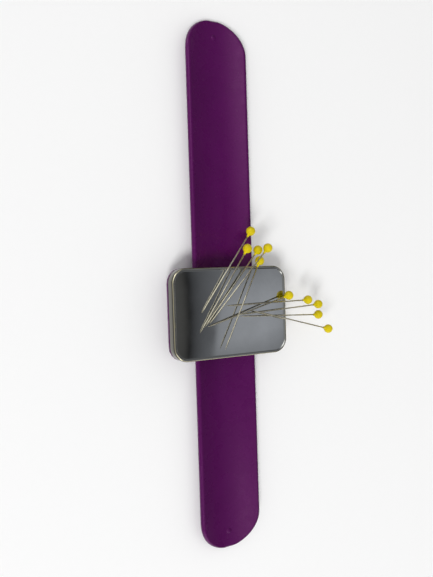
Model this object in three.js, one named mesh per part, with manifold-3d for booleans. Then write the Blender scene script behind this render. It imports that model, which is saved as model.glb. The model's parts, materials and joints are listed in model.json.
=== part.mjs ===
// Magnetic wristband: a silicone slap band with a spring blade inside, a pressed
// steel tray with magnets under its floor, and ten ball-head pins held on the tray.
// Millimetres. X runs across the band, Y along it, Z up out of the tray.
// The origin is on the wrist side of the band, under the middle of the tray.

import * as THREE from 'three';
import { mergeVertices } from 'three/addons/utils/BufferGeometryUtils.js';
import Module from 'manifold-3d';

const wasm = await Module();
wasm.setup();

// Clearances between seated pieces, and between the links of the band
const seatGap = 0.3;
const linkGap = 0.3;

// Band
const bandWidth = 29.5;
const bandThickness = 2.4;
const troughDepth = 3.2;
const longArmLength = 112.5;
const longArmLinks = 15;
const shortArmLength = 91.5;
const shortArmLinks = 12;
const tipLinkLength = 11;
const markDiameter = 2.2;
const markHeight = 0.35;
const markFromEnd = 7.5;

// Spring blade inside the band
const bladeWidth = 22;
const bladeThickness = 0.3;

// Tray pan, pressed from sheet
const trayWidth = 55.5;
const trayLength = 38.4;
const trayCorner = 6.3;
const dishCorner = 2.5;
const sheet = 0.6;
const skirtHeight = 4;
const rimRadius = 0.7;
const rimFall = 0.1;
const dishDepth = 0.3;
const dishSlope = 0.4;
const trayOverhang = 6.2;

// Tray base, with a flange under the skirt and a pocket for each magnet
const flangeThickness = 1.4;
const flangeChamfer = 0.3;
const pocketFloor = 0.6;
const magnetWidth = 20;
const magnetLength = 26;
const magnetCorner = 1;
const pocketWall = 2.4;

// Saddle that fills the trough under the base
const saddleWidth = 22;
const saddleMargin = 1;

// Ball-head pins
const pinLength = 41.4;
const pinDiameter = 0.6;
const pointLength = 4;
const headDiameter = 4;
const neckLength = 0.9;
const neckDiameter = 1.2;

// The pins in the order they are laid: where the point rests, as shares of the tray's half width
// and half length, and the way the pin heads in degrees from +X. In pin diameters: how far it
// passes over the rim beyond its clearance, and how far the pins below lift its point.
const pinPlaces = [
  { shareX: -0.106, shareY: 0.145, heading: 0.8, over: 1.6, lift: 0 },
  { shareX: 0.136, shareY: -0.066, heading: 3.1, over: 0, lift: 0 },
  { shareX: 0.132, shareY: -0.106, heading: -2.4, over: 0, lift: 0 },
  { shareX: -0.438, shareY: -0.284, heading: 15.9, over: 0, lift: 0 },
  { shareX: 0.327, shareY: 0.01, heading: -14.9, over: 2.6, lift: 2.6 },
  { shareX: -0.194, shareY: -0.806, heading: 63.1, over: 0, lift: 3.2 },
  { shareX: -0.533, shareY: 0.021, heading: 54.6, over: 0.5, lift: 0 },
  { shareX: -0.574, shareY: -0.407, heading: 56.6, over: 1, lift: 0 },
  { shareX: -0.489, shareY: -0.289, heading: 49.9, over: 0.2, lift: 0 },
  { shareX: -0.411, shareY: -0.228, heading: 49.2, over: 5.2, lift: 0 },
];

// Facets: across the band's arc, round its edges, round its ends, on the tray's corners,
// slope and rim, and round the pins. The flat spot at a strip's end is a share of its thickness.
const arcSteps = 7;
const edgeSteps = 4;
const endSteps = 8;
const cornerSteps = 5;
const slopeSteps = 5;
const rimSteps = 4;
const shaftSides = 8;
const headSides = 14;
const headSteps = 8;
const markSides = 16;
const flatSpotShare = 0.05;

const silicone = { color: 0x4a0f48, roughness: 0.5, metalness: 0 };
const polishedSteel = { color: 0xb4b6ba, roughness: 0.12, metalness: 1 };
const bladeSteel = { color: 0x8d8f94, roughness: 0.35, metalness: 1 };
const ferrite = { color: 0x2b2b2d, roughness: 0.8, metalness: 0.1 };
const pinSteel = { color: 0xc9c3a4, roughness: 0.2, metalness: 1 };
const yellowPlastic = { color: 0xd8c11e, roughness: 0.25, metalness: 0 };

function piece(name, geometry, finish) {
  const mesh = new THREE.Mesh(geometry, new THREE.MeshStandardMaterial(finish));
  mesh.name = name;
  return mesh;
}

function numbered(word, index) {
  return `${word}_${String(index + 1).padStart(2, '0')}`;
}

// Solids made of rings: a wall joins each ring of points to the next one, and flat faces close
// the two ends. Faces are turned over at the end if they look inward.

function solidGeometry(points, faces) {
  let volume = 0;
  for (let i = 0; i < faces.length; i += 3) {
    const [a, b, c] = [0, 1, 2].map((k) => points[faces[i + k]]);
    volume += a.dot(b.clone().cross(c));
  }
  const geometry = new THREE.BufferGeometry().setFromPoints(points);
  geometry.setIndex(volume > 0 ? faces : faces.toReversed());
  geometry.computeVertexNormals();
  return geometry;
}

function wallFaces(first, second, count) {
  const faces = [];
  for (let j = 0; j < count; j += 1) {
    const k = (j + 1) % count;
    faces.push(first + j, second + j, second + k, first + j, second + k, first + k);
  }
  return faces;
}

function walls(rings, start) {
  const count = rings[0].length;
  return rings.slice(1).flatMap((_, i) => wallFaces(start + i * count, start + (i + 1) * count, count));
}

// A flat face over a ring, that follows the ring's own order. The ring is seen along one axis.
function ringFace(ring, start, axis) {
  const outline = ring.map((p) => (axis === 'y' ? new THREE.Vector2(p.x, p.z) : new THREE.Vector2(p.x, p.y)));
  const faces = THREE.ShapeUtils.triangulateShape(outline.slice(), []).flat();
  const ordered = THREE.ShapeUtils.isClockWise(outline) ? faces.toReversed() : faces;
  return ordered.map((i) => start + i);
}

function stack(rings, axis) {
  const last = (rings.length - 1) * rings[0].length;
  return solidGeometry(rings.flat(), [
    ...walls(rings, 0),
    ...ringFace(rings[0], 0, axis),
    ...ringFace(rings.at(-1), last, axis).toReversed(),
  ]);
}

// A sleeve with a channel inside. The channel is open at the first ring, and also at the last one
// unless it is blind.
function sleeve(outer, inner, blind) {
  const count = outer[0].length;
  const channel = outer.length * count;
  const outerEnd = channel - count;
  const innerEnd = channel + (inner.length - 1) * count;
  const faces = [...walls(outer, 0), ...walls(inner, channel).toReversed(), ...wallFaces(channel, 0, count)];
  if (blind) {
    faces.push(...ringFace(outer.at(-1), outerEnd, 'y').toReversed());
    faces.push(...ringFace(inner.at(-1), innerEnd, 'y'));
  } else {
    faces.push(...wallFaces(outerEnd, innerEnd, count));
  }
  return solidGeometry([...outer, ...inner].flat(), faces);
}

function toSolid(geometry) {
  const bare = geometry.clone();
  bare.deleteAttribute('normal');
  bare.deleteAttribute('uv');
  const merged = mergeVertices(bare);
  const vertProperties = new Float32Array(merged.attributes.position.array);
  const triVerts = new Uint32Array(merged.index.array);
  return new wasm.Manifold(new wasm.Mesh({ numProp: 3, vertProperties, triVerts }));
}

function fromSolid(solid) {
  const mesh = solid.getMesh();
  const result = new THREE.BufferGeometry();
  result.setAttribute('position', new THREE.Float32BufferAttribute(mesh.vertProperties, 3));
  result.setIndex([...mesh.triVerts]);
  result.computeVertexNormals();
  return result;
}

function cut(geometry, tools) {
  return fromSolid(tools.reduce((rest, tool) => rest.subtract(toSolid(tool)), toSolid(geometry)));
}

function join(geometry, tool) {
  return fromSolid(toSolid(geometry).add(toSolid(tool)));
}

// Band section: an arc with full-round edges. The middle facet of its wrist side lies at Z 0.

const seatLength = trayLength - 2 * trayOverhang;
const bandHalf = bandThickness / 2;
const halfChord = bandWidth / 2 - bandHalf;
const arcRadius = (halfChord ** 2 + troughDepth ** 2) / (2 * troughDepth);

function arcAngle(halfWidth, half) {
  return Math.asin((halfWidth - half) / arcRadius);
}

function arcCentre(halfWidth, half) {
  return (arcRadius + bandHalf) * Math.cos(arcAngle(halfWidth, half) / arcSteps);
}

const bandCentre = arcCentre(bandWidth / 2, bandHalf);

function arcPoint(radius, angle, y, centre) {
  return new THREE.Vector3(radius * Math.sin(angle), y, centre - radius * Math.cos(angle));
}

function arcRow(radius, angle, y, centre) {
  return Array.from({ length: arcSteps + 1 }, (_, i) => {
    return arcPoint(radius, angle * ((2 * i) / arcSteps - 1), y, centre);
  });
}

// One ring: the wrist side, the right edge, the trough side on the way back, the left edge.
function sectionRing(halfWidth, half, y, centre) {
  const angle = arcAngle(halfWidth, half);
  const rightEdge = [];
  for (let j = 1; j < edgeSteps; j += 1) {
    const turn = (Math.PI * j) / edgeSteps;
    const point = arcPoint(arcRadius + half * Math.cos(turn), angle, y, centre);
    point.x += half * Math.sin(turn) * Math.cos(angle);
    point.z += half * Math.sin(turn) * Math.sin(angle);
    rightEdge.push(point);
  }
  const leftEdge = rightEdge.toReversed().map((p) => new THREE.Vector3(-p.x, p.y, p.z));
  const wristSide = arcRow(arcRadius + half, angle, y, centre);
  const troughSide = arcRow(arcRadius - half, angle, y, centre).toReversed();
  return [...wristSide, ...rightEdge, ...troughSide, ...leftEdge];
}

const bandTop = Math.max(...sectionRing(bandWidth / 2, bandHalf, 0, bandCentre).map((p) => p.z));

// The three strips that share the section: the band, the channel in it and the blade. Their round
// ends have one centre. A strip also thins at its very end, so that its edge is round there too.
const bandStrip = { halfWidth: bandWidth / 2, half: bandHalf, centreOf: arcCentre };
const bladeStrip = { halfWidth: bladeWidth / 2, half: bladeThickness / 2, centreOf: () => bandCentre };
const channelStrip = {
  halfWidth: bladeStrip.halfWidth + seatGap,
  half: bladeStrip.half + seatGap,
  centreOf: () => bandCentre,
};

function stripRing(strip, endCentre, y) {
  const past = Math.max(0, y - endCentre);
  const thinning = Math.max(0, past - strip.halfWidth + strip.half);
  const halfWidth = Math.sqrt(strip.halfWidth ** 2 - past ** 2);
  const half = Math.sqrt(strip.half ** 2 - thinning ** 2);
  return sectionRing(halfWidth, half, y, strip.centreOf(halfWidth, half));
}

// Rings of a strip from one station to another, or to the flat spot at its end.
function stripRings(strip, endCentre, from, to) {
  const stations = [from];
  for (let k = 0; k < endSteps; k += 1) {
    const y = endCentre + strip.halfWidth * Math.sin((Math.PI / 2) * (k / endSteps));
    if (y > from + linkGap && y < to - linkGap) stations.push(y);
  }
  const flatSpot = strip.half * flatSpotShare;
  stations.push(Math.min(to, endCentre + strip.halfWidth - flatSpot));
  return stations.map((y) => stripRing(strip, endCentre, y));
}

// One arm runs along +Y from the seat, in links that hinge on the wrist side.
function arm(word, length, links) {
  const group = new THREE.Group();
  const end = seatLength / 2 + length;
  const endCentre = end - bandStrip.halfWidth;
  const pitch = (length - tipLinkLength) / (links - 1);
  for (let k = 0; k < links; k += 1) {
    const isTip = k === links - 1;
    const from = seatLength / 2 + k * pitch + linkGap / 2;
    const to = isTip ? end : from + pitch - linkGap;
    const outer = stripRings(bandStrip, endCentre, from, to);
    const inner = stripRings(channelStrip, endCentre, from, to);
    const link = sleeve(outer, inner, isTip);
    group.add(piece(numbered(word, k), isTip ? join(link, markPip(end - markFromEnd)) : link, silicone));
  }
  return group;
}

// The round mark is a low pip on the trough side.
function markPip(y) {
  const pip = new THREE.SphereGeometry(markDiameter / 2, markSides, markSides / 2);
  pip.rotateX(Math.PI / 2);
  pip.scale(1, 1, (2 * markHeight) / markDiameter);
  pip.translate(0, y, bandThickness);
  return pip;
}

function bandSeat() {
  const reach = (seatLength - linkGap) / 2;
  const [outer, inner] = [bandStrip, channelStrip].map((strip) => {
    return [-reach, reach].map((y) => sectionRing(strip.halfWidth, strip.half, y, bandCentre));
  });
  return piece('band_seat', sleeve(outer, inner, false), silicone);
}

// The blade is one strip through the whole band.
function springBlade() {
  const [shortSide, longSide] = [shortArmLength, longArmLength].map((length) => {
    const endCentre = seatLength / 2 + length - bandStrip.halfWidth;
    return stripRings(bladeStrip, endCentre, 0, endCentre + bladeStrip.halfWidth);
  });
  const turned = shortSide.slice(1).map((ring) => ring.map((p) => new THREE.Vector3(p.x, -p.y, p.z)));
  return piece('spring_blade', stack([...turned.toReversed(), ...longSide], 'y'), bladeSteel);
}

function band() {
  const group = new THREE.Group();
  const shortArm = arm('band_short', shortArmLength, shortArmLinks);
  shortArm.rotation.z = Math.PI;
  group.add(bandSeat(), arm('band_long', longArmLength, longArmLinks), shortArm, springBlade());
  return group;
}

// Heights of the tray above the band

const baseBottom = bandTop + seatGap;
const flangeTop = baseBottom + flangeThickness;
const skirtBottom = flangeTop + seatGap;
const rimTop = skirtBottom + skirtHeight;
const dishFloor = rimTop - dishDepth;
const plugTop = dishFloor - sheet - seatGap;
const pocketBottom = baseBottom + pocketFloor;
const magnetThickness = plugTop - pocketBottom - seatGap;
const magnetSpacing = magnetWidth + 2 * seatGap + pocketWall;
const saddleLength = seatLength - 2 * saddleMargin;

// Height of the sheet's upper face in the dish, at a distance in from the tray's outline.
function dishHeight(inset) {
  const share = THREE.MathUtils.clamp(1 - (inset - 2 * rimRadius) / dishSlope, 0, 1);
  return dishFloor + ((dishDepth - rimFall) * (1 - Math.cos(Math.PI * share))) / 2;
}

// A rounded rectangle set in from the tray's outline, at one height.
function trayRing(inset, z) {
  const radius = Math.max(trayCorner - inset, dishCorner);
  const reachX = trayWidth / 2 - inset - radius;
  const reachY = trayLength / 2 - inset - radius;
  const corners = [[1, 1], [-1, 1], [-1, -1], [1, -1]];
  return corners.flatMap(([sideX, sideY], corner) => {
    return Array.from({ length: cornerSteps + 1 }, (_, i) => {
      const angle = (Math.PI / 2) * (corner + i / cornerSteps);
      const x = sideX * reachX + radius * Math.cos(angle);
      const y = sideY * reachY + radius * Math.sin(angle);
      return new THREE.Vector3(x, y, z);
    });
  });
}

// One skin of the sheet, a given depth below its upper face, as rings from the dish floor up the
// slope, over the rolled rim and down the skirt.
function sheetSkin(depth) {
  const rings = [];
  for (let i = 0; i <= slopeSteps; i += 1) {
    const inset = 2 * rimRadius + dishSlope * (1 - i / slopeSteps);
    rings.push(trayRing(inset, dishHeight(inset) - depth));
  }
  for (let i = 0; i <= rimSteps; i += 1) {
    const turn = (Math.PI / 2) * (1 - i / rimSteps);
    const radius = rimRadius - depth;
    rings.push(trayRing(rimRadius - radius * Math.cos(turn), rimTop - rimRadius + radius * Math.sin(turn)));
  }
  rings.push(trayRing(depth, skirtBottom));
  return rings;
}

function trayPan() {
  return piece('tray_pan', stack([...sheetSkin(0), ...sheetSkin(sheet).toReversed()], 'z'), polishedSteel);
}

function roundedBlock(width, length, corner, bottom, top) {
  const shape = new THREE.Shape();
  const x = width / 2 - corner;
  const y = length / 2 - corner;
  shape.absarc(x, y, corner, 0, Math.PI / 2);
  shape.absarc(-x, y, corner, Math.PI / 2, Math.PI);
  shape.absarc(-x, -y, corner, Math.PI, 1.5 * Math.PI);
  shape.absarc(x, -y, corner, 1.5 * Math.PI, 2 * Math.PI);
  const depth = top - bottom;
  const block = new THREE.ExtrudeGeometry(shape, { depth, bevelEnabled: false, curveSegments: cornerSteps });
  return block.translate(0, 0, bottom);
}

function magnetBlock(side, clearance, bottom, top) {
  const width = magnetWidth + 2 * clearance;
  const length = magnetLength + 2 * clearance;
  const block = roundedBlock(width, length, magnetCorner + clearance, bottom, top);
  return block.translate((side * magnetSpacing) / 2, 0, 0);
}

function trayBase() {
  const plugInset = sheet + seatGap;
  const body = stack([
    trayRing(flangeChamfer, baseBottom),
    trayRing(0, baseBottom + flangeChamfer),
    trayRing(0, flangeTop),
    trayRing(plugInset, flangeTop),
    trayRing(plugInset, plugTop),
  ], 'z');
  const pockets = [-1, 1].map((side) => magnetBlock(side, seatGap, pocketBottom, plugTop + seatGap));
  return piece('tray_base', cut(body, pockets), silicone);
}

function magnet(name, side) {
  const bottom = pocketBottom + seatGap;
  return piece(name, magnetBlock(side, 0, bottom, bottom + magnetThickness), ferrite);
}

function bondSaddle() {
  const radius = arcRadius - bandHalf - seatGap;
  const angle = Math.asin(saddleWidth / 2 / radius);
  const top = baseBottom - seatGap;
  const rings = [-saddleLength / 2, saddleLength / 2].map((y) => [
    ...arcRow(radius, angle, y, bandCentre),
    new THREE.Vector3(saddleWidth / 2, y, top),
    new THREE.Vector3(-saddleWidth / 2, y, top),
  ]);
  return piece('bond_saddle', stack(rings, 'y'), silicone);
}

function tray() {
  const group = new THREE.Group();
  group.add(trayPan(), trayBase(), magnet('magnet_left', -1), magnet('magnet_right', 1), bondSaddle());
  return group;
}

// Pins: turned about +Y from the point at 0 up to the head, then laid in place.

const pinRadius = pinDiameter / 2;
const headRadius = headDiameter / 2;
const neckStart = pinLength - headRadius - neckLength;

function pinShaft() {
  const butt = neckStart - seatGap;
  const profile = [[0, 0], [pinRadius, pointLength], [pinRadius, butt], [0, butt]];
  return new THREE.LatheGeometry(profile.map(([r, y]) => new THREE.Vector2(r, y)), shaftSides);
}

function pinHead() {
  const profile = [[0, neckStart], [neckDiameter / 2, neckStart]];
  const neckAngle = Math.asin(neckDiameter / headDiameter);
  for (let i = 0; i < headSteps; i += 1) {
    const angle = neckAngle + (Math.PI - neckAngle) * (i / headSteps);
    profile.push([headRadius * Math.sin(angle), pinLength - headRadius * Math.cos(angle)]);
  }
  profile.push([0, pinLength + headRadius]);
  return new THREE.LatheGeometry(profile.map(([r, y]) => new THREE.Vector2(r, y)), headSides);
}

// Where the shafts of two pins cross in plan, as the run from each one's point, if they do.
function crossing(first, second) {
  const offset = new THREE.Vector2(second.point.x - first.point.x, second.point.y - first.point.y);
  const across = first.along.cross(second.along);
  const runs = [offset.cross(second.along) / across, offset.cross(first.along) / across];
  return runs.every((run) => run > 0 && run < neckStart) ? runs : [];
}

// Where another pin's head lies by a pin: the run along the pin, and the rise that keeps the gap.
function headRise(pin, other) {
  const toHead = other.along.clone().multiplyScalar(pinLength);
  toHead.add(other.point).sub(pin.point);
  const run = toHead.dot(pin.along);
  const aside = toHead.cross(pin.along);
  const reach = headRadius + pinRadius + seatGap;
  const near = run > 0 && run < pinLength && Math.abs(aside) < reach;
  return near ? { run, rise: Math.sqrt(reach ** 2 - aside ** 2) } : null;
}

// The slopes that carry a pin over an earlier shaft and an earlier head, and its head over an earlier shaft.
function slopesOver(pin, earlier) {
  const slopes = [];
  const [run, earlierRun] = crossing(pin, earlier);
  if (run) slopes.push((earlier.heightAt(earlierRun) + pinDiameter + seatGap - pin.point.z) / run);

  const overHead = headRise(pin, earlier);
  if (overHead) {
    slopes.push((earlier.heightAt(pinLength) + overHead.rise - pin.point.z) / overHead.run);
  }
  const overShaft = headRise(earlier, pin);
  if (overShaft) {
    slopes.push((earlier.heightAt(overShaft.run) + overShaft.rise - pin.point.z) / pinLength);
  }
  return slopes;
}

// A pin climbs just enough to clear the rim, with its shaft and then with its head, and to lie over
// each earlier pin that it meets.
function layPin({ shareX, shareY, heading, over, lift }, laid) {
  const [halfX, halfY] = [trayWidth / 2, trayLength / 2];
  const [x, y] = [shareX * halfX, shareY * halfY];
  const floor = dishHeight(Math.min(halfX - Math.abs(x), halfY - Math.abs(y)));
  const point = new THREE.Vector3(x, y, floor + seatGap + lift * pinDiameter);
  const turn = THREE.MathUtils.degToRad(heading);
  const along = new THREE.Vector2(Math.cos(turn), Math.sin(turn));
  const crestX = (halfX - rimRadius - Math.sign(along.x) * x) / Math.abs(along.x);
  const crestY = (halfY - rimRadius - Math.sign(along.y) * y) / Math.abs(along.y);
  const crest = Math.min(crestX, crestY);

  const overRim = rimTop + pinRadius + seatGap + over * pinDiameter;
  const slopes = laid.flatMap((earlier) => slopesOver({ point, along }, earlier));
  slopes.push((overRim - point.z) / crest);
  const headRun = pinLength * Math.cos(Math.atan(Math.max(...slopes)));
  const past = Math.max(0, (headRun - crest) * Math.abs(crestX < crestY ? along.x : along.y));
  const reach = rimRadius + headRadius + seatGap;
  if (past < reach) slopes.push((rimTop - rimRadius + Math.sqrt(reach ** 2 - past ** 2) - point.z) / headRun);

  const slope = Math.max(...slopes);
  return { point, along, slope, heightAt: (run) => point.z + slope * run };
}

function pins() {
  const group = new THREE.Group();
  const laid = [];
  pinPlaces.forEach((place, index) => {
    const resting = layPin(place, laid);
    const { point, along, slope } = resting;
    const direction = new THREE.Vector3(along.x, along.y, slope).normalize();
    const pin = new THREE.Group();
    pin.position.copy(point);
    pin.quaternion.setFromUnitVectors(new THREE.Vector3(0, 1, 0), direction);
    pin.add(piece(numbered('pin_shaft', index), pinShaft(), pinSteel));
    pin.add(piece(numbered('pin_head', index), pinHead(), yellowPlastic));
    group.add(pin);
    laid.push(resting);
  });
  return group;
}

const wristband = new THREE.Group();
wristband.add(band(), tray(), pins());

export default wristband;
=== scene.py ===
"""Looks of a magnetic wristband: a soft slap band, a polished steel tray and ten ball-head pins."""

import json
import math

import bpy
import numpy as np
from mathutils import Matrix, Vector


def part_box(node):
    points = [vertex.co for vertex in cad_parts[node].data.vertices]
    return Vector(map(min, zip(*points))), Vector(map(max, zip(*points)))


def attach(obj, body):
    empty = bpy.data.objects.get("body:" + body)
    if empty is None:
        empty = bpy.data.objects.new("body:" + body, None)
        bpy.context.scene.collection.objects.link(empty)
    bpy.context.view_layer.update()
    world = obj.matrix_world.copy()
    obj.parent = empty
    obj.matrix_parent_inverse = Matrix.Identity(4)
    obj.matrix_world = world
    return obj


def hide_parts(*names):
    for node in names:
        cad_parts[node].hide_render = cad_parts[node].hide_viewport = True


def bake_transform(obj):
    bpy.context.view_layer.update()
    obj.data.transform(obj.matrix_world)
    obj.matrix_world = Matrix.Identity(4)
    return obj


bl_info = {
    "name": "Magnetic wristband",
    "version": (1, 0, 0),
    "blender": (4, 5, 0),
    "location": "3D View > Sidebar > Wristband",
    "description": "Builds the band, blade, tray and pins of a magnetic wristband round its frame",
    "category": "Object",
}

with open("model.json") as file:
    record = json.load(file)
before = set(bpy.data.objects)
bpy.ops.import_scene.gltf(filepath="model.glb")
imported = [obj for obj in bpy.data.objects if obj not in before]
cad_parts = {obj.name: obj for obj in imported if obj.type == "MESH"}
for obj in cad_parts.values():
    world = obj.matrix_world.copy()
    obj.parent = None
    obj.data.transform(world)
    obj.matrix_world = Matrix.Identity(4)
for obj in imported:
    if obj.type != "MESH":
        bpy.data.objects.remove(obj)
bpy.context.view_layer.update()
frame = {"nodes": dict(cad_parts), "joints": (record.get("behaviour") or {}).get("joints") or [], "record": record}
MM = 0.001
SIDES = (1, -1)  # the long arm and the short one


# Settings


def srgb(red, green, blue):
    """Scene-linear colour of three screen values from 0 to 255."""
    level = np.array([red, green, blue]) / 255
    linear = np.where(level <= 0.04045, level / 12.92, ((level + 0.055) / 1.055) ** 2.4)
    return tuple(float(value) for value in linear)


def length(name, description, millimetres):
    """A length property with its default in millimetres."""
    return bpy.props.FloatProperty(
        name=name, description=description, default=millimetres * MM, unit="LENGTH", precision=5
    )


def colour(name, description, default):
    """A colour property in scene-linear values."""
    return bpy.props.FloatVectorProperty(
        name=name, description=description, default=default, size=3, subtype="COLOR", min=0, max=1
    )


def share(name, description, default):
    """A plain number from 0 to 1."""
    return bpy.props.FloatProperty(
        name=name, description=description, default=default, min=0, max=1, subtype="FACTOR"
    )


class BandSettings(bpy.types.PropertyGroup):
    """Sizes and finish of the silicone band and of the blade in it."""

    width: length("Width", "Width of the band across its arc", 29.5)
    thickness: length("Thickness", "Thickness of the silicone", 2.4)
    trough: length("Trough", "Depth of the arc across the band", 3.2)
    mark_width: length("Mark width", "Diameter of the round pip near each end", 2.2)
    mark_height: length("Mark height", "Height of the round pip", 0.35)
    mark_from_end: length("Mark from end", "Distance of the mark from the end", 7.5)
    blade_width: length("Blade width", "Width of the spring blade", 22.0)
    blade_thickness: length("Blade thickness", "Thickness of the spring blade", 0.3)
    clearance: length("Clearance", "Room round the blade in its channel", 0.3)
    silicone: colour("Silicone", "Colour of the silicone", (0.069, 0.0012, 0.069))
    roughness: share("Roughness", "Roughness of the silicone", 0.28)
    blade: colour("Blade", "Colour of the blade steel", (0.42, 0.43, 0.45))


class TraySettings(bpy.types.PropertyGroup):
    """Sizes and finish of the pressed tray and of what is under it."""

    corner: length("Corner", "Radius of the tray's corners", 6.3)
    sheet: length("Sheet", "Thickness of the sheet", 0.6)
    rim: length("Rim", "Radius of the rolled rim", 0.7)
    dish: length("Dish", "Depth of the floor below the rim", 0.3)
    bead: length("Bead", "Width of the fall from the rim to the floor", 0.75)
    steel: colour("Steel", "Colour of the polished steel", (0.5, 0.505, 0.51))
    # Painted shade: the skirt's steel is made dark to stand in for the shaded floor that it mirrors.
    skirt: colour("Skirt", "Colour of the duller drawn skirt", (0.165, 0.161, 0.138))
    roughness: share("Roughness", "Roughness of the polished steel", 0.04)
    ferrite: colour("Ferrite", "Colour of the magnets", (0.025, 0.025, 0.027))


class PinSettings(bpy.types.PropertyGroup):
    """Sizes and finish of the ball-head pins."""

    shaft: length("Shaft", "Diameter of the shaft", 0.6)
    point: length("Point", "Length of the ground point", 4.0)
    head: length("Head", "Diameter of the ball head", 4.0)
    neck: length("Neck", "Length of the neck under the head", 0.9)
    neck_width: length("Neck width", "Diameter of the neck", 1.0)
    clearance: length("Clearance", "Gap between shaft and neck in the frame", 0.3)
    steel: colour("Steel", "Colour of the shafts", (0.66, 0.62, 0.5))
    plastic: colour("Plastic", "Colour of the heads", srgb(214, 193, 2))


class StageSettings(bpy.types.PropertyGroup):
    """Floor, light and camera."""

    floor: colour("Floor", "Colour of the floor", (0.97, 0.97, 0.97))
    key_power: bpy.props.FloatProperty(
        name="Key", description="Power of the main lamp in watts", default=58.0, min=0
    )
    lens: bpy.props.FloatProperty(
        name="Lens", description="Focal length of the camera", default=37.21, unit="CAMERA"
    )
    place: bpy.props.FloatVectorProperty(
        name="Place",
        description="Where the camera stands",
        default=(-0.1289, 0.01741, 0.22805),
        size=3,
        subtype="TRANSLATION",
    )
    turn: bpy.props.FloatVectorProperty(
        name="Turn",
        description="Turns of the camera about X, Y and Z",
        default=tuple(math.radians(angle) for angle in (-1.638, -29.278, -1.822)),
        size=3,
        subtype="EULER",
    )


class WristbandSettings(bpy.types.PropertyGroup):
    """All settings of the wristband."""

    band: bpy.props.PointerProperty(name="Band", description="Silicone band", type=BandSettings)
    tray: bpy.props.PointerProperty(name="Tray", description="Steel tray", type=TraySettings)
    pins: bpy.props.PointerProperty(name="Pins", description="Ball-head pins", type=PinSettings)
    stage: bpy.props.PointerProperty(
        name="Stage", description="Floor and light", type=StageSettings
    )


# Meshes


def smooth_step(low, high, values):
    """0 below low, 1 above high, and 3t^2 - 2t^3 of the share t between them."""
    t = np.clip((values - low) / (high - low), 0, 1)
    return t * t * (3 - 2 * t)


def ring_walls(rows, columns, start=0):
    """Quads between neighbouring rings of a grid that closes on itself across its columns."""
    row, column = np.meshgrid(np.arange(rows - 1), np.arange(columns), indexing="ij")
    here = start + row * columns + column
    beside = start + row * columns + (column + 1) % columns
    return np.stack([here, beside, beside + columns, here + columns], axis=-1).reshape(-1, 4)


def ring_bridge(first, second, columns):
    """Quads between two rings that start at the given points."""
    column = np.arange(columns)
    beside = (column + 1) % columns
    return np.stack([first + column, first + beside, second + beside, second + column], axis=-1)


def ring_caps(rows, columns):
    """A face over the first ring of a grid, turned round, and one over the last ring."""
    ring = np.arange(columns)
    return np.stack([ring[::-1], (rows - 1) * columns + ring])


def signed_volume(points, groups):
    """Six times the volume inside the faces: the sum of a.(b x c) over fans of triangles."""
    total = 0.0
    for group in groups:
        corners = points[group]
        total += np.sum(corners[:, :1] * np.cross(corners[:, 1:-1], corners[:, 2:]))
    return total


def new_object(name, points, faces, material):
    """A mesh object with one material, linked into the scene."""
    mesh = bpy.data.meshes.new(name)
    mesh.from_pydata(points.tolist(), [], faces)
    mesh.materials.append(material)
    piece = bpy.data.objects.new(name, mesh)
    bpy.context.scene.collection.objects.link(piece)
    return piece


def add_piece(name, points, walls, flats, material):
    """A closed piece of smooth walls and flat faces, turned so that its faces look out.

    Walls and flats are lists of arrays, each with a row of corners for every face.
    """
    groups = [*walls, *flats]
    way = -1 if signed_volume(points, groups) < 0 else 1
    faces = [face for group in groups for face in group[:, ::way].tolist()]
    piece = new_object(name, points, faces, material)
    smooth = np.arange(len(faces)) < sum(len(group) for group in walls)
    piece.data.polygons.foreach_set("use_smooth", smooth)
    piece.data.validate()
    piece.data.update()
    return piece


def closed_piece(name, rings, material, smooth_caps=False):
    """A piece whose walls join its rings, with a face over each end."""
    rows, columns = rings.shape[:2]
    walls, caps = [ring_walls(rows, columns)], [ring_caps(rows, columns)]
    if smooth_caps:
        walls, caps = walls + caps, []
    return add_piece(name, rings.reshape(-1, 3), walls, caps, material)


# Materials


def tone(base, factor):
    """A colour made lighter or darker."""
    return tuple(min(1.0, value * factor) for value in base)


def grey(level):
    """An even grey."""
    return (level, level, level)


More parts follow.
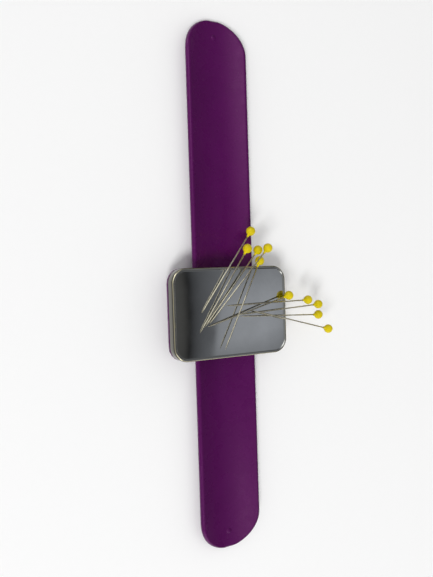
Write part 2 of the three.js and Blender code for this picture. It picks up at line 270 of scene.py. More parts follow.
class Shading:
    """The nodes of a material or of the world, with a short call for each kind."""

    def __init__(self, owner):
        owner.use_nodes = True
        self.nodes = owner.node_tree.nodes
        self.links = owner.node_tree.links

    def fill(self, node, inputs):
        """Links a node's inputs to sockets, or sets them to plain values."""
        for name, value in inputs.items():
            if isinstance(value, bpy.types.NodeSocket):
                self.links.new(value, node.inputs[name])
            else:
                node.inputs[name].default_value = value

    def add(self, kind, inputs, **options):
        """A new node with its options and inputs."""
        node = self.nodes.new(kind)
        for name, value in options.items():
            setattr(node, name, value)
        self.fill(node, inputs)
        return node

    def maths(self, operation, *values):
        """A Math node over sockets and plain numbers."""
        node = self.add("ShaderNodeMath", dict(enumerate(values)), operation=operation)
        return node.outputs["Value"]

    def ramp(self, value, stops):
        """A colour ramp over a value, from pairs of position and colour."""
        node = self.add("ShaderNodeValToRGB", {"Fac": value})
        elements = node.color_ramp.elements
        while len(elements) < len(stops):
            elements.new(0.5)
        while len(elements) > len(stops):
            elements.remove(elements[-1])
        for element, (position, shade) in zip(elements, stops):
            element.position = position
            element.color = (*shade, 1)
        return node.outputs["Color"]

    def toned(self, value, base, dark, light, low=0.3, high=0.7):
        """A colour that goes from darker to lighter as a value goes from low to high."""
        return self.ramp(value, [(low, tone(base, dark)), (high, tone(base, light))])

    def spread(self, value, low, high):
        """A value from 0.3 to 0.7 mapped to low and high."""
        span = {"Value": value, "From Min": 0.3, "From Max": 0.7, "To Min": low, "To Max": high}
        return self.add("ShaderNodeMapRange", span).outputs["Result"]

    def mixed(self, factor, first, second, way="MIX"):
        """Two colours mixed by a factor."""
        inputs = {"Factor": factor, 6: first, 7: second}
        return self.add("ShaderNodeMix", inputs, data_type="RGBA", blend_type=way).outputs[2]

    def seen(self):
        """One for the rays of the camera, of mirrors and of glass, none for those that light."""
        path = self.add("ShaderNodeLightPath", {}).outputs
        first = self.maths("MAXIMUM", path["Is Camera Ray"], path["Is Glossy Ray"])
        return self.maths("MAXIMUM", first, path["Is Transmission Ray"])

    def shaded(self, factor, first, second):
        """Two shaders mixed by a factor."""
        node = self.add("ShaderNodeMixShader", {"Fac": factor, 1: first, 2: second})
        return node.outputs["Shader"]

    def added(self, first, second):
        """Two shaders added."""
        return self.add("ShaderNodeAddShader", {0: first, 1: second}).outputs["Shader"]


class Finish(Shading):
    """The nodes of a surface: its main shader and patterns on Object coordinates."""

    def __init__(self, name):
        self.material = bpy.data.materials.new(name)
        super().__init__(self.material)
        self.shader = self.nodes["Principled BSDF"]
        self.place = self.add("ShaderNodeTexCoord", {}).outputs["Object"]

    def surface(self, inputs):
        """Fills the main shader's inputs."""
        self.fill(self.shader, inputs)

    def noise(self, scale, detail=2.0, roughness=0.5, stretch=(1, 1, 1)):
        """Noise, stretched by a Mapping node. Scale is in features per metre."""
        mapping = self.add("ShaderNodeMapping", {"Vector": self.place, "Scale": stretch})
        texture = {"Vector": mapping.outputs["Vector"], "Scale": scale}
        texture.update({"Detail": detail, "Roughness": roughness})
        return self.add("ShaderNodeTexNoise", texture).outputs["Fac"]

    def bump(self, height, distance, strength, under=None):
        """A bump from a height, over another bump if there is one, on the main shader."""
        inputs = {"Height": height, "Distance": distance, "Strength": strength}
        if under is not None:
            inputs["Normal"] = under
        normal = self.add("ShaderNodeBump", inputs).outputs["Normal"]
        self.surface({"Normal": normal})
        return normal


DUST = (*srgb(150, 140, 140), 1)
SHEEN = (1, 0.5, 0.94, 1)  # what the silicone's clear skin mirrors comes back a little purple
PAINTED_RIM_HIGHLIGHT = (1.25, 1.15, 0.85)  # painted highlight: the rim's roll is tinted cream against the steel


def silicone_material(settings):
    """Satin silicone: faint cloudy tone, a fine moulded grain and sparse pale dust."""
    finish = Finish("purple_silicone")
    cloudy = finish.toned(finish.noise(90, 3), tuple(settings.silicone), 0.96, 1.05)
    dusty = finish.ramp(finish.noise(2600, 1), [(0.76, grey(0)), (0.82, grey(0.35))])
    patch = finish.noise(260, 2)
    rough = settings.roughness
    finish.surface({
        "Base Color": finish.mixed(dusty, cloudy, DUST),
        "Roughness": finish.spread(patch, rough - 0.04, rough + 0.05),
        "IOR": 1.43,
        "Specular IOR Level": 0.55,
        "Specular Tint": SHEEN,
    })
    finish.bump(finish.noise(5200, 3, 0.6), 0.05 * MM, 0.25)
    return finish.material


def tray_material(settings):
    """Polished sheet with soft smudges, hairline polish lines and a slight ripple.

    Its colour goes by the depth below the rim: steel on top, then a painted cream highlight on the
    roll, a painted dark line of shade under it and painted shade that darkens the skirt.
    """
    finish = Finish("polished_tray_steel")
    steel, skirt = tuple(settings.steel), tuple(settings.skirt)
    # Painted light: a cream highlight painted on the roll, a dark line of painted shade under it, and the skirt
    # painted darker as shade.
    rim_highlight, dark = tuple(np.multiply(steel, PAINTED_RIM_HIGHLIGHT)), tone(skirt, 0.4)
    depths = [(0, steel), (0.015, rim_highlight), (0.055, rim_highlight), (0.11, dark), (0.2, dark), (0.42, skirt)]
    below = finish.add("ShaderNodeAttribute", {}, attribute_name="below_rim").outputs["Fac"]
    smudge = finish.noise(110, 4, 0.6)
    smudged = finish.ramp(smudge, [(0.3, grey(0.94)), (0.7, grey(1.05))])
    rough = settings.roughness
    finish.surface({
        "Base Color": finish.mixed(1.0, finish.ramp(below, depths), smudged, "MULTIPLY"),
        "Metallic": 1.0,
        "Roughness": finish.spread(smudge, rough * 0.7, rough * 1.5),
    })
    ripple = finish.bump(finish.noise(45, 1), 0.4 * MM, 0.05)
    lines = finish.noise(900, 3, 0.6, stretch=(0.05, 1.6, 1))
    finish.bump(lines, 0.01 * MM, 0.08, ripple)
    return finish.material


def brushed_material(name, base, rough, scale):
    """Rolled or drawn steel: fine lines along the piece in tone, roughness and bump."""
    finish = Finish(name)
    lines = finish.noise(scale, 3, 0.6, stretch=(1, 0.08, 1))
    finish.surface({
        "Base Color": finish.toned(lines, base, 0.82, 1.12),
        "Metallic": 1.0,
        "Roughness": finish.spread(lines, rough * 0.8, rough * 1.3),
    })
    finish.bump(lines, 0.02 * MM, 0.2)
    return finish.material


def ferrite_material(settings):
    """Pressed ferrite: dark, dull and grainy."""
    finish = Finish("magnet_ferrite")
    grain = finish.noise(1800, 4, 0.6)
    finish.surface({
        "Base Color": finish.toned(grain, tuple(settings.ferrite), 0.7, 1.5, 0.35, 0.65),
        "Roughness": finish.spread(grain, 0.65, 0.85),
    })
    finish.bump(grain, 0.05 * MM, 0.4)
    return finish.material


def head_material(settings):
    """Moulded ball heads: clear yellow with faint flow tone, a thin gloss and a slight waviness."""
    finish = Finish("yellow_pin_plastic")
    flow = finish.noise(420, 2)
    finish.surface({
        "Base Color": finish.toned(flow, tuple(settings.plastic), 0.88, 1.06),
        "Roughness": finish.spread(flow, 0.26, 0.36),
        "Specular IOR Level": 0.23,
        "Coat Weight": 0.08,
        "Coat Roughness": 0.15,
    })
    finish.bump(finish.noise(900, 1), 0.05 * MM, 0.15)
    return finish.material


# Band

EVEN_COLUMNS = np.linspace(-1, 1, 41)
MIDDLE_COLUMNS = 65
EDGE_STEPS = 10
BLADE_EDGE_STEPS = 4
LINK_ROWS = 13
BLADE_ROWS = 9
BLADE_SEAT_ROWS = 5
MARK_ROWS = 29
TIP_ROWS = 44
HOLLOW_ROWS = 20
NO_END = 1.0  # an end's centre that lies past every arm
TIP_TURN = math.radians(89.4)  # a round end stops just short of a point
MARK_ROOM = 0.7  # half the length with fine rows, in widths of the mark
BRACE = 0.008 * MM  # how near a cut end its extra ring lies


class Strip:
    """A strip on the band's arc: half its width and thickness, and the arc's radius and centre."""

    def __init__(self, half_width, half, radius, centre):
        self.half_width = half_width
        self.half = half
        self.radius = radius
        self.centre = centre

    def rings(self, stations, end_centre, columns, edge_steps):
        """Rings of the section at each station along an arm.

        Past the end's centre the half width falls as a circle, sqrt(w^2 - p^2), and over the last
        half thickness the strip thins as a circle too. A ring is an arc of radius R + h on the
        wrist side, a half circle of radius h at each edge, and an arc of radius R - h on the trough
        side.
        """
        past = np.maximum(0, stations - end_centre)
        half_width = np.sqrt(np.maximum(self.half_width**2 - past**2, 0))[:, None]
        thinning = np.maximum(0, past - self.half_width + self.half)
        half = np.sqrt(np.maximum(self.half**2 - thinning**2, 0))[:, None]
        angle = np.arcsin((half_width - half) / self.radius)
        across = angle * columns[None, :]
        turn = (np.arange(1, edge_steps) * math.pi / edge_steps)[None, :]
        wrist, trough = self.radius + half, self.radius - half
        edge = self.radius + half * np.cos(turn)
        edge_x = edge * np.sin(angle) + half * np.sin(turn) * np.cos(angle)
        edge_z = -edge * np.cos(angle) + half * np.sin(turn) * np.sin(angle)
        back = across[:, ::-1]
        x = np.hstack([wrist * np.sin(across), edge_x, trough * np.sin(back), -edge_x[:, ::-1]])
        z = np.hstack([-wrist * np.cos(across), edge_z, -trough * np.cos(back), edge_z[:, ::-1]])
        y = np.broadcast_to(stations[:, None], x.shape)
        return np.stack([x, y, z + self.centre], axis=-1)


def band_strips(settings):
    """The band, its channel and the blade, as strips on one arc whose wrist side touches Z 0."""
    half = settings.thickness / 2
    chord = settings.width / 2 - half
    radius = (chord**2 + settings.trough**2) / (2 * settings.trough)
    centre = radius + half
    room = settings.clearance
    blade = Strip(settings.blade_width / 2, settings.blade_thickness / 2, radius, centre)
    channel = Strip(blade.half_width + room, blade.half + room, radius, centre)
    return Strip(settings.width / 2, half, radius, centre), channel, blade


def arm_joints(side):
    """The curl joints of one arm, from the seat outward."""
    joints = [j for j in frame["joints"] if j["type"] == "hinge" and j["pos_m"][1] * side > 0]
    return sorted(joints, key=lambda j: j["pos_m"][1] * side)


class Arm:
    """Where one arm's hinges, seams and end lie, as distances from the middle of the tray."""

    def __init__(self, side, settings):
        self.side = side
        self.word = "long" if side > 0 else "short"
        self.joints = arm_joints(side)
        self.hinges = np.array([abs(j["pos_m"][1]) for j in self.joints])
        pitch = self.hinges[1] - self.hinges[0]
        low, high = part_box(frame["record"]["behaviour"]["bodies"][self.joints[-1]["child"]][0])
        self.end = max(abs(low.y), abs(high.y))
        self.end_centre = self.end - settings.width / 2
        self.mark = self.end - settings.mark_from_end
        starts = self.hinges - pitch / 2
        self.seams = np.append(starts, self.mark - MARK_ROOM * settings.mark_width)

    def place(self, rings):
        """Rings along +Y put on the arm's own side, by a half turn about Z for the short arm."""
        return rings * np.array([self.side, self.side, 1.0])


def sleeve(name, outer, inner, blind, material):
    """A length of band with the blade's channel in it: two grids, joined where their ends are open.

    A blind sleeve is open at its first end only, and each grid has a face over its other end.
    """
    rows, columns = outer.shape[:2]
    start = rows * columns
    outer_end, inner_end = start - columns, start + (len(inner) - 1) * columns
    walls = [ring_walls(rows, columns), ring_walls(len(inner), columns, start)[:, ::-1]]
    flats = [ring_bridge(start, 0, columns)]
    if blind:
        ring = np.arange(columns)[None]
        flats += [outer_end + ring, inner_end + ring[:, ::-1]]
    else:
        flats.append(ring_bridge(outer_end, inner_end, columns))
    points = np.vstack([outer.reshape(-1, 3), inner.reshape(-1, 3)])
    return add_piece(name, points, walls, flats, material)


def middle_columns():
    """Columns that lie closer together in the middle: s(0.2 + 0.8 s^2) for s from -1 to 1."""
    s = np.linspace(-1, 1, MIDDLE_COLUMNS)
    return s * (0.2 + 0.8 * s**2)


def end_stations(start, end_centre, half_width, count):
    """Stations to a round end: even turns of its circle, that close up toward the tip."""
    first = math.asin(min(1.0, max(0.0, (start - end_centre) / half_width)))
    return end_centre + half_width * np.sin(np.linspace(first, TIP_TURN, count))


def raise_mark(rings, arm, strip, settings):
    """Raises the trough side inside the mark's circle to a low dome.

    The height goes as (1 - r^2)^0.6, with r from 0 in the middle to 1 at the edge.
    """
    r = np.hypot(rings[..., 0], rings[..., 1] - arm.mark) / (settings.mark_width / 2)
    arc_height = strip.centre - np.sqrt(strip.radius**2 - rings[..., 0] ** 2)
    upper = rings[..., 2] > arc_height
    rings[..., 2] += upper * settings.mark_height * np.maximum(0, 1 - r**2) ** 0.6
    return rings


def braced(stations, end=True):
    """Stations with one more close to each cut end, so that shading stays straight to the cut."""
    last = [stations[-1] - BRACE] if end else []
    return np.sort(np.concatenate([stations, [stations[0] + BRACE], last]))


def band_piece_rings(strip, arm, start, end):
    """Rings of one hinge's length of a strip."""
    stations = braced(np.linspace(start, end, LINK_ROWS))
    return arm.place(strip.rings(stations, arm.end_centre, EVEN_COLUMNS, EDGE_STEPS))


def blade_rings(blade, arm, stations):
    """Rings of a length of blade."""
    return arm.place(blade.rings(stations, arm.end_centre, EVEN_COLUMNS, BLADE_EDGE_STEPS))


def tie_to_joint(piece):
    """Bakes the piece's placement into its mesh; it is tied to no joint and does not bend."""
    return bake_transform(piece)


class WRISTBAND_OT_band(bpy.types.Operator):
    """Makes the silicone band as lengths that meet halfway along links"""

    bl_idname = "wristband.band"
    bl_label = "Silicone band"

    def execute(self, context):
        settings = context.scene.wristband.band
        band, channel, _ = band_strips(settings)
        strips = (band, channel)
        material = silicone_material(settings)
        arms = [Arm(side, settings) for side in SIDES]
        seat = braced(np.linspace(-arms[1].seams[0], arms[0].seams[0], LINK_ROWS))
        outer, inner = (s.rings(seat, NO_END, EVEN_COLUMNS, EDGE_STEPS) for s in strips)
        piece = sleeve("band_seat_skin", outer, inner, False, material)
        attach(piece, "tray_unit")
        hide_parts("band_seat")
        for arm in arms:
            for index in range(len(arm.joints)):
                start, end = arm.seams[index], arm.seams[index + 1]
                outer, inner = (band_piece_rings(s, arm, start, end) for s in strips)
                name = f"band_{arm.word}_skin_{index + 1:02d}"
                piece = sleeve(name, outer, inner, False, material)
                tie_to_joint(piece)
                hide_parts(f"band_{arm.word}_{index + 1:02d}")
            self.add_tip(arm, band, channel, settings, material)
        return {"FINISHED"}

    def add_tip(self, arm, band, channel, settings, material):
        """The round end of an arm, with its mark."""
        start, past_mark = arm.seams[-1], arm.mark + MARK_ROOM * settings.mark_width
        columns = middle_columns()
        to_mark = np.linspace(start, past_mark, MARK_ROWS)[:-1]
        to_end = end_stations(past_mark, arm.end_centre, band.half_width, TIP_ROWS)
        stations = braced(np.append(to_mark, to_end), end=False)
        outer = band.rings(stations, arm.end_centre, columns, EDGE_STEPS)
        outer = arm.place(raise_mark(outer, arm, band, settings))
        hollow = end_stations(start, arm.end_centre, channel.half_width, HOLLOW_ROWS)
        inner = arm.place(channel.rings(hollow, arm.end_centre, columns, EDGE_STEPS))
        piece = sleeve(f"band_{arm.word}_tip_skin", outer, inner, True, material)
        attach(piece, arm.joints[-1]["child"])


class WRISTBAND_OT_blade(bpy.types.Operator):
    """Makes the spring blade as lengths inside the band"""

    bl_idname = "wristband.blade"
    bl_label = "Spring blade"

    def execute(self, context):
        settings = context.scene.wristband.band
        blade = band_strips(settings)[2]
        steel = brushed_material("rolled_blade_steel", tuple(settings.blade), 0.32, 1500)
        arms = [Arm(side, settings) for side in SIDES]
        seat = np.linspace(-arms[1].seams[0], arms[0].seams[0], BLADE_SEAT_ROWS)
        rings = blade.rings(seat, NO_END, EVEN_COLUMNS, BLADE_EDGE_STEPS)
        piece = closed_piece("blade_seat", rings, steel)
        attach(piece, "tray_unit")
        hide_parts("spring_blade")
        for arm in arms:
            for index in range(len(arm.joints)):
                stations = np.linspace(arm.seams[index], arm.seams[index + 1], BLADE_ROWS)
                name = f"blade_{arm.word}_{index + 1:02d}"
                rings = blade_rings(blade, arm, stations)
                piece = closed_piece(name, rings, steel)
                tie_to_joint(piece)
            stations = end_stations(arm.seams[-1], arm.end_centre, blade.half_width, HOLLOW_ROWS)
            rings = blade_rings(blade, arm, stations)
            piece = closed_piece(f"blade_{arm.word}_tip", rings, steel)
            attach(piece, arm.joints[-1]["child"])
        return {"FINISHED"}


# Tray

CORNER_STEPS = 20
SIDE_STEPS = 16
BEAD_STEPS = 16
ROLL_STEPS = 12
INNER_ROLL_STEPS = 6
HEM_STEPS = 8
APRON = np.array([2.5, 0.5, 0.06]) * MM  # rows of floor beside the bead, inward from its foot
LEAST_CORNER = 0.3  # the floor's corners keep this share of the tray's corner radius
DEEPEST = 4  # the attribute below_rim is 1 at this many radii of the rim


def outline_path(corner_steps, side_steps):
    """A path round a rounded rectangle: the corner centre's place from -1 to 1 and the way out."""
    turn = np.arange(corner_steps + 1) / corner_steps * math.pi / 2
    along = 1 - 2 * np.arange(1, side_steps) / side_steps
    rows = []
    for quarter, (side_x, side_y) in enumerate([(1, 1), (-1, 1), (-1, -1), (1, -1)]):
        angle = turn + quarter * math.pi / 2
        ones = np.ones_like(angle)
        rows.append(np.stack([side_x * ones, side_y * ones, np.cos(angle), np.sin(angle)]))
        out = (quarter + 1) * math.pi / 2
        ones = np.ones_like(along)
        place_x = side_x * (along if quarter % 2 == 0 else ones)
        place_y = side_y * (ones if quarter % 2 == 0 else along)
        rows.append(np.stack([place_x, place_y, math.cos(out) * ones, math.sin(out) * ones]))
    return np.hstack(rows)


def pan_profile(settings, top, bottom):
    """The sheet's upper face from the floor to the skirt's edge, as rows of how far it is set in
    from the outline and its height.

    The floor is flat. By the rim it rises the dish's depth over the bead, as 3t^2 - 2t^3, and the
    rim rolls over in a quarter circle to the skirt, whose lower edge is a half circle.
    """
    foot = settings.rim + settings.bead
    inset = np.concatenate([foot + APRON, np.linspace(foot, settings.rim, BEAD_STEPS)])
    height = top - settings.dish * smooth_step(settings.rim, foot, inset)
    turn = np.linspace(math.pi / 2, 0, ROLL_STEPS + 1)[1:]
    roll_inset = settings.rim - settings.rim * np.cos(turn)
    roll_height = top - settings.rim + settings.rim * np.sin(turn)
    half = settings.sheet / 2
    under = np.linspace(0, math.pi, HEM_STEPS + 1)
    hem_inset = half - half * np.cos(under)
    hem_height = bottom + half - half * np.sin(under)
    inset = np.concatenate([inset, roll_inset, hem_inset])
    height = np.concatenate([height, roll_height, hem_height])
    return inset, height


def inner_profile(settings, inset, height, top):
    """The sheet's lower face back from the skirt's edge to the floor, a sheet's thickness in."""
    border = len(APRON) + BEAD_STEPS
    turn = np.linspace(0, math.pi / 2, INNER_ROLL_STEPS + 1)
    radius = settings.rim - settings.sheet
    roll_inset = settings.rim - radius * np.cos(turn)
    roll_height = top - settings.rim + radius * np.sin(turn)
    back = slice(border - 2, None, -1)
    return (
        np.concatenate([roll_inset, inset[:border][back]]),
        np.concatenate([roll_height, height[:border][back] - settings.sheet]),
    )


def carry_round(half_x, half_y, corner, inset, height, path):
    """The profile carried round the tray: a point is set in from the outline, along the way out."""
    place_x, place_y, out_x, out_y = path
    radius = np.maximum(corner - inset, LEAST_CORNER * corner)[:, None]
    x = place_x * (half_x - inset[:, None] - radius) + out_x * radius
    y = place_y * (half_y - inset[:, None] - radius) + out_y * radius
    return np.stack([x, y, np.broadcast_to(height[:, None], x.shape)], axis=-1)


class WRISTBAND_OT_tray(bpy.types.Operator):
    """Makes the pressed tray and finishes the base, saddle and magnets under it"""

    bl_idname = "wristband.tray"
    bl_label = "Steel tray"

    def execute(self, context):
        settings = context.scene.wristband.tray
        low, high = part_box("tray_pan")
        upper = pan_profile(settings, high.z, low.z)
        lower = inner_profile(settings, *upper, high.z)
        inset, height = (np.concatenate(pair) for pair in zip(upper, lower))
        path = outline_path(CORNER_STEPS, SIDE_STEPS)
        rings = carry_round(high.x, high.y, settings.corner, inset, height, path)
        steel = tray_material(settings)
        piece = closed_piece("tray_pan_skin", rings, steel, smooth_caps=True)
        # below_rim is the depth under the rim; it places the painted highlight, the painted dark line and the
        # painted skirt shade in the tray's colour.
        below = np.where(inset < settings.rim, high.z - height, 0) / (DEEPEST * settings.rim)
        layer = piece.data.attributes.new("below_rim", "FLOAT", "POINT")
        layer.data.foreach_set("value", np.repeat(below, rings.shape[1]).astype(np.float32))
        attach(piece, "tray_unit")
        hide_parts("tray_pan")
        silicone = bpy.data.materials["purple_silicone"]
        ferrite = ferrite_material(settings)
        finishes = {
            "tray_base": silicone,
            "bond_saddle": silicone,
            "magnet_left": ferrite,
            "magnet_right": ferrite,
        }
        for node, material in finishes.items():
            frame["nodes"][node].data.materials.clear()
            frame["nodes"][node].data.materials.append(material)
        return {"FINISHED"}


# Pins

SHAFT_SIDES = 16
HEAD_SIDES = 28
BUTT = 0.5 * MM  # the shaft's points this near its far end are its butt
NECK_RADII = np.array([0.85, 1.0, 1.0, 1.04, 1.14])  # in radii of the neck
NECK_STEPS = np.array([0.0, 0.12, 0.55, 0.8, 0.97])  # in lengths of the neck
BALL_START = 1.35  # in angles at which the ball is as wide as the neck
BALL_STOP = 0.995  # in half turns
BALL_ROWS = 26
POINT_START = 0.002  # the share of the point's length at which its first ring lies
POINT_ROWS = 10


def node_points(name):
    """The points of a node of the frame."""
    vertices = frame["nodes"][name].data.vertices
    points = np.empty(len(vertices) * 3, dtype=np.float32)
    vertices.foreach_get("co", points)
    return points.reshape(-1, 3).astype(float)


def pin_axis(index):
    """The point of a pin, the way along it and the length to its butt, from the frame's shaft."""
    points = np.unique(np.round(node_points(f"pin_shaft_{index:02d}"), 7), axis=0)
    middle = np.mean(node_points(f"pin_head_{index:02d}"), axis=0)
    point = points[np.argmax(np.linalg.norm(points - middle, axis=1))]
    reach = (points - point) @ (middle - point) / np.linalg.norm(middle - point)
    butt = points[reach > reach.max() - BUTT].mean(axis=0)
    run = np.linalg.norm(butt - point)
    return point, (butt - point) / run, run


def turned(point, along, radii, runs, sides):
    """Rings of a profile turned about an axis: the point plus a run along it and a radius round."""
    side = np.cross(along, [0, 0, 1])
    side /= np.linalg.norm(side)
    up = np.cross(side, along)
    angle = np.arange(sides) / sides * 2 * math.pi
    way = np.cos(angle)[:, None] * side + np.sin(angle)[:, None] * up
    return point + runs[:, None, None] * along + radii[:, None, None] * way[None]


def shaft_profile(settings, run):
    """The point swells as a sine of its share to the power 0.8, then the shaft runs straight."""
    t = np.linspace(POINT_START, 1, POINT_ROWS)
    radius = settings.shaft / 2
    radii = np.concatenate([radius * np.sin(t * math.pi / 2) ** 0.8, [radius, radius]])
    runs = np.concatenate([t * settings.point, [run * 0.5, run + settings.clearance]])
    return radii, runs


def head_profile(settings, run):
    """A short neck that flares by the listed radii, then the ball's circle.

    The circle starts a little wider than the neck and stops just short of the ball's top.
    """
    start = run + settings.clearance
    ball = settings.head / 2
    centre = start + settings.neck + ball
    first = math.asin(settings.neck_width / settings.head) * BALL_START
    angle = np.linspace(first, math.pi * BALL_STOP, BALL_ROWS)
    neck = settings.neck_width / 2
    radii = np.concatenate([neck * NECK_RADII, ball * np.sin(angle)])
    runs = np.concatenate([start + settings.neck * NECK_STEPS, centre - ball * np.cos(angle)])
    return radii, runs


class WRISTBAND_OT_pins(bpy.types.Operator):
    """Makes the ten ball-head pins on the frame's shafts"""

    bl_idname = "wristband.pins"
    bl_label = "Pins"

    def execute(self, context):
        settings = context.scene.wristband.pins
        steel = brushed_material("drawn_pin_steel", tuple(settings.steel), 0.3, 3000)
        plastic = head_material(settings)
        count = sum(node.startswith("pin_shaft") for node in frame["nodes"])
        for index in range(1, count + 1):
            point, along, run = pin_axis(index)
            shaft = turned(point, along, *shaft_profile(settings, run), SHAFT_SIDES)
            head = turned(point, along, *head_profile(settings, run), HEAD_SIDES)
            parts = {"shaft": (shaft, steel, "pin_steel"), "head": (head, plastic, "pin_head")}
            for part, (rings, material, slot) in parts.items():
                piece = closed_piece(f"pin_{part}_skin_{index:02d}", rings, material)
                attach(piece, "held_pins")
                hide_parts(f"pin_{part}_{index:02d}")
        return {"FINISHED"}


# Stage

FLOOR_REACH = 6.0
FLOOR_DROP = 0.1 * MM
WHITE_FROM, WHITE_AT = 0.3, 1.0  # the floor turns to plain white between these distances
KEY_PLACE = (-1.6, -1.5, 2.3)
KEY_SIZE = 1.0
SENSOR = 36
CLIP_START = 0.005
CANOPY_RADIUS = 0.7
CANOPY_REACH = 1.4
CANOPY_TURN = math.radians(14)
CANOPY_ROWS = 181

# What the metal mirrors: levels by the angle across the canopy, and their shares along it
SKY = [
    (-90, 0.15), (-68, 0.35), (-32, 0.46), (-12, 0.28), (6, 0.18), (19.5, 0.13), (21, 0.11),
    (22.4, 0.1), (22.9, 0.025), (23.4, 0.025), (24.0, 0.1), (25.6, 0.16), (27, 0.2), (34, 0.21),
    (39, 0.12), (48, 0.11), (90, 0.11),
]
SKY_FADE = [(0, 1)]
WINDOW = [(24.7, 0), (25.1, 0.22), (26.6, 0.27), (31, 0.31), (34, 0.3), (37, 0)]
WINDOW_FADE = [(0.424, 0.4), (0.438, 1), (0.457, 1), (0.48, 0.2)]
FLANKS = [(-62, 0), (-38, 0.5), (-20, 2), (-6, 2), (6, 1.2), (16, 0.55), (27, 0.12), (36, 0)]
FLANKS_FADE = [(0.31, 0), (0.36, 1), (0.42, 0), (0.52, 0), (0.63, 1), (0.66, 1), (0.71, 0)]
ENDS = [(-66, 0), (-50, 3.4), (-26, 3.4), (-14, 0)]
ENDS_FADE = [(0.18, 1), (0.27, 0), (0.73, 0), (0.82, 1)]
COOL_FROM, COOL_TO = 23, 45  # angles whose light is a little blue
SKY_MIDDLE, SKY_LEAN, SKY_BOW = 0.457, 0.29, 2.9
WINDOW_MIDDLE, WINDOW_LEAN = 0.43, 0.457


def floor_material(settings):
    """Pale paper with a faint fibre, which is plain white to the eye away from the object."""
    finish = Finish("floor_paper")
    finish.surface({
        "Base Color": finish.toned(finish.noise(300, 2), tuple(settings.floor), 0.995, 1.0),
        "Roughness": 0.95,
        "Specular IOR Level": 0.0,
    })
    away = finish.add("ShaderNodeVectorMath", {0: finish.place}, operation="LENGTH")
    span = {"Value": away.outputs["Value"], "From Min": WHITE_FROM, "From Max": WHITE_AT}
    far = finish.add("ShaderNodeMapRange", span, interpolation_type="SMOOTHSTEP")
    white = finish.add("ShaderNodeEmission", {})
    factor = finish.maths("MULTIPLY", far.outputs["Result"], finish.seen())
    paper = finish.shaded(factor, finish.shader.outputs["BSDF"], white.outputs["Emission"])
    finish.fill(finish.nodes["Material Output"], {"Surface": paper})
    return finish.material


def glow_colour(level, angle):
    """A grey of a level, a little blue where the light is cool and else a little warm."""
    cool = COOL_FROM < angle < COOL_TO
    return (0.96 * level, level, 1.06 * level) if cool else (level, level, 0.95 * level)


def canopy_material():
    """What the metal mirrors: a grey sky with a dark line past the top, a soft pale window, pale
    flanks beside the middle and a bright patch toward each end.

    The levels are given by the angle u across the half tunnel, and all but the sky's fade along it
    too, by v. The sky's lines lean and bow, u - 0.29 (v - c) + 2.9 (v - c)^2 with c where the tray
    mirrors its middle, and the window leans, u - 0.457 (v - 0.43).
    """
    material = bpy.data.materials.new("mirror_canopy")
    shading = Shading(material)
    shading.nodes.clear()
    where = shading.add("ShaderNodeUVMap", {}).outputs["UV"]
    split = shading.add("ShaderNodeSeparateXYZ", {"Vector": where}).outputs
    across, along = split["X"], split["Y"]
    off = shading.maths("SUBTRACT", along, SKY_MIDDLE)
    bow = shading.maths("MULTIPLY_ADD", off, SKY_BOW, -SKY_LEAN)
    leaning = shading.maths("ADD", across, shading.maths("MULTIPLY", off, bow))
    slant = shading.maths("MULTIPLY_ADD", along, -WINDOW_LEAN, WINDOW_LEAN * WINDOW_MIDDLE)
    slanting = shading.maths("ADD", across, slant)
    shine = None
    for levels, place, fade in (
        (SKY, leaning, SKY_FADE),
        (WINDOW, slanting, WINDOW_FADE),
        (FLANKS, across, FLANKS_FADE),
        (ENDS, across, ENDS_FADE),
    ):
        stops = [((angle + 90) / 180, glow_colour(level, angle)) for angle, level in levels]
        fading = [(stop, grey(left)) for stop, left in fade]
        inputs = {"Color": shading.ramp(place, stops), "Strength": shading.ramp(along, fading)}
        glow = shading.add("ShaderNodeEmission", inputs).outputs["Emission"]
        shine = glow if shine is None else shading.added(shine, glow)
    shading.add("ShaderNodeOutputMaterial", {"Surface": shine})
    return material


def canopy():
    """A half tunnel over the object that only mirrors see. Its UV runs across it and along it.

    At an angle a from the top, a point stands R sin a to the side and R cos a up, and the tunnel is
    turned about Z.
    """
    reach = CANOPY_REACH
    degrees, stations = np.linspace(-90, 90, CANOPY_ROWS), np.linspace(-reach, reach, 3)
    angle, along = np.meshgrid(degrees, stations, indexing="ij")
    side = CANOPY_RADIUS * np.sin(np.radians(angle))
    up = CANOPY_RADIUS * np.cos(np.radians(angle))
    cos, sin = math.cos(CANOPY_TURN), math.sin(CANOPY_TURN)
    points = np.stack([side * cos - along * sin, side * sin + along * cos, up], axis=-1)
    rows, columns = angle.shape
    here = (np.arange(rows - 1)[:, None] * columns + np.arange(columns - 1)[None, :]).ravel()
    faces = np.stack([here, here + 1, here + columns + 1, here + columns], axis=-1).tolist()
    piece = new_object("mirror_canopy", points.reshape(-1, 3), faces, canopy_material())
    layer = piece.data.uv_layers.new(name="across")
    loops = np.empty(len(piece.data.loops), dtype=np.int32)
    piece.data.loops.foreach_get("vertex_index", loops)
    places = np.stack([(angle + 90) / 180, (along + reach) / (2 * reach)], axis=-1).reshape(-1, 2)
    layer.data.foreach_set("uv", places[loops].astype(np.float32).ravel())
    piece.visible_camera = piece.visible_diffuse = piece.visible_shadow = False


def studio_world():
    """Soft light from all round, a little less from overhead, and plain white to eye and mirror."""
    world = bpy.data.worlds.new("studio")
    bpy.context.scene.world = world
    shading = Shading(world)
    where = shading.add("ShaderNodeTexCoord", {}).outputs["Generated"]
    height = shading.add("ShaderNodeSeparateXYZ", {"Vector": where}).outputs["Z"]
    light = shading.nodes["Background"]
    shading.fill(light, {"Color": shading.ramp(height, [(0.35, grey(0.68)), (0.85, grey(0.49))])})
    white = shading.add("ShaderNodeBackground", {"Color": (1, 1, 1, 1)})
    sky = shading.shaded(shading.seen(), light.outputs[0], white.outputs[0])
    shading.fill(shading.nodes["World Output"], {"Surface": sky})


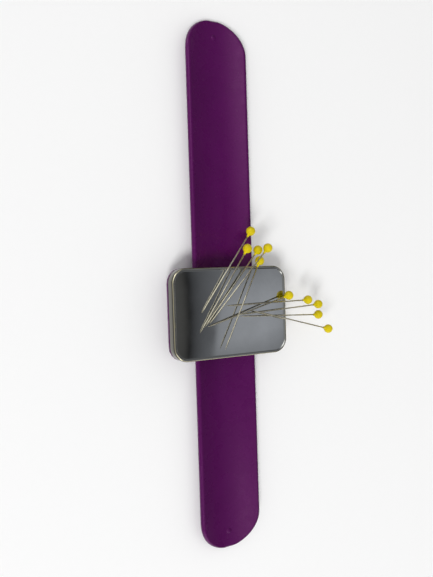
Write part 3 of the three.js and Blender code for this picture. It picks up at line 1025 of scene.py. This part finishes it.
def lay_floor(floor, arms):
    """The floor gives way to a curled arm.

    It stays half the band's height under the middle of the band at each hinge and at each tip.
    """
    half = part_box("band_seat")[1].z / 2
    for arm in arms:
        bodies = [joint["child"] for joint in arm.joints]
        places = zip(np.append(arm.hinges, arm.end - half), [*bodies, bodies[-1]])
        for number, (place, body) in enumerate(places):
            mark = bpy.data.objects.new(f"{arm.word}_floor_mark_{number:02d}", None)
            mark.location = (0, arm.side * place, half)
            bpy.context.scene.collection.objects.link(mark)
            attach(mark, body)
            limit = floor.constraints.new("FLOOR")
            limit.target = mark
            limit.floor_location = "FLOOR_NEGATIVE_Z"
            limit.offset = -half


def area_lamp(name, place, size, power):
    """A square lamp that looks at the tray. Mirrors see the canopy and not the lamp."""
    lamp = bpy.data.lights.new(name, "AREA")
    lamp.energy = power
    lamp.size = size
    piece = bpy.data.objects.new(name, lamp)
    piece.location = place
    piece.rotation_euler = (-Vector(place)).to_track_quat("-Z", "Y").to_euler()
    piece.visible_glossy = False
    bpy.context.scene.collection.objects.link(piece)


def add_camera(settings):
    """The camera, turned about its own Y, X and Z in that order."""
    camera = bpy.data.objects.new("camera", bpy.data.cameras.new("camera"))
    camera.data.sensor_width = SENSOR
    camera.data.lens = settings.lens
    camera.data.clip_start = CLIP_START
    about_x, about_y, about_z = (
        Matrix.Rotation(angle, 4, axis) for angle, axis in zip(settings.turn, "XYZ")
    )
    camera.matrix_world = Matrix.Translation(settings.place) @ (about_y @ about_x @ about_z)
    bpy.context.scene.collection.objects.link(camera)
    bpy.context.scene.camera = camera


class WRISTBAND_OT_stage(bpy.types.Operator):
    """Makes the floor, the light and the camera"""

    bl_idname = "wristband.stage"
    bl_label = "Stage"

    def execute(self, context):
        settings = context.scene.wristband.stage
        context.scene.view_settings.view_transform = "Standard"
        corners = np.array([[-1, -1, 0], [1, -1, 0], [1, 1, 0], [-1, 1, 0]]) * FLOOR_REACH
        floor = new_object("floor", corners, [(0, 1, 2, 3)], floor_material(settings))
        floor.location.z = -FLOOR_DROP
        lay_floor(floor, [Arm(side, context.scene.wristband.band) for side in SIDES])
        studio_world()
        canopy()
        area_lamp("key_lamp", KEY_PLACE, KEY_SIZE, settings.key_power)
        add_camera(settings)
        return {"FINISHED"}


# Add-on


class WRISTBAND_PT_panel(bpy.types.Panel):
    """Lists the steps that make the wristband, with their settings"""

    bl_idname = "WRISTBAND_PT_panel"
    bl_label = "Magnetic wristband"
    bl_space_type = "VIEW_3D"
    bl_region_type = "UI"
    bl_category = "Wristband"

    def draw(self, context):
        settings = context.scene.wristband
        for operator, group in zip(OPERATORS, ("band", "band", "tray", "pins", "stage")):
            box = self.layout.box()
            box.operator(operator.bl_idname)
            if operator is not WRISTBAND_OT_blade:
                for name in getattr(settings, group).__annotations__:
                    box.prop(getattr(settings, group), name)


OPERATORS = (
    WRISTBAND_OT_band,
    WRISTBAND_OT_blade,
    WRISTBAND_OT_tray,
    WRISTBAND_OT_pins,
    WRISTBAND_OT_stage,
)
GROUPS = (BandSettings, TraySettings, PinSettings, StageSettings, WristbandSettings)
CLASSES = (*GROUPS, *OPERATORS, WRISTBAND_PT_panel)


def register():
    """Adds the classes and the scene's settings."""
    for item in CLASSES:
        bpy.utils.register_class(item)
    bpy.types.Scene.wristband = bpy.props.PointerProperty(type=WristbandSettings)


def unregister():
    """Takes the scene's settings and the classes away again."""
    del bpy.types.Scene.wristband
    for item in reversed(CLASSES):
        bpy.utils.unregister_class(item)


def main():
    """Registers the add-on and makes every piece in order."""
    register()
    bpy.ops.wristband.band()
    bpy.ops.wristband.blade()
    bpy.ops.wristband.tray()
    bpy.ops.wristband.pins()
    bpy.ops.wristband.stage()


if __name__ == "__main__":
    main()
